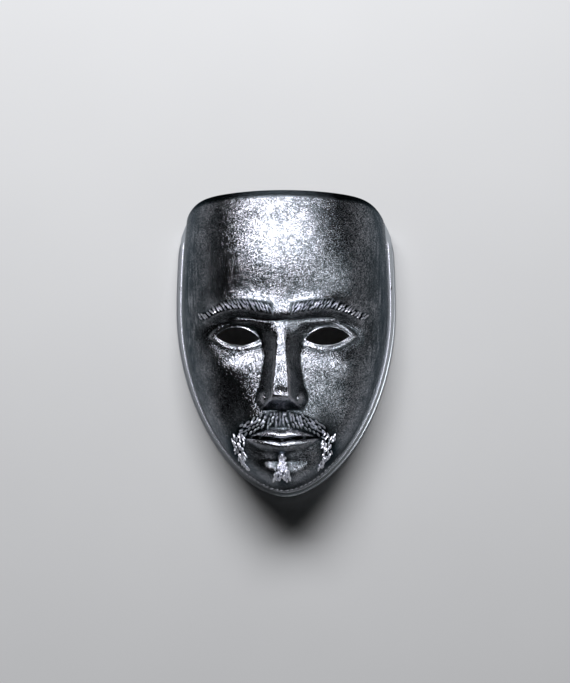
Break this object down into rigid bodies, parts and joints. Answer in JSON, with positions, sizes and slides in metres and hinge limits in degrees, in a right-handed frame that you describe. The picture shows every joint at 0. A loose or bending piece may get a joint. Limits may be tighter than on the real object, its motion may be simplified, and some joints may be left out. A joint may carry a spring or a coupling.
{
  "type": "full-face mask",
  "caption": "Hollow full-face mask of darkened silvery cast metal with open eyes, raised brow, moustache and beard strokes, and a beaded rim.",
  "frame": {"origin": "on the surface that the rim rests on, under the middle of the mask's bounding box", "axes": "+X across the face, +Y from the chin to the forehead, +Z out of the face"},
  "size_m": [0.162, 0.22, 0.0884],
  "materials": {
    "cast_metal": "darkened silvery casting with a fine grain, brighter on its high forms, and a smooth band along the rim"
  },
  "bodies": {
    "root": {"mask": "cast_metal"}
  },
  "joints": []
}
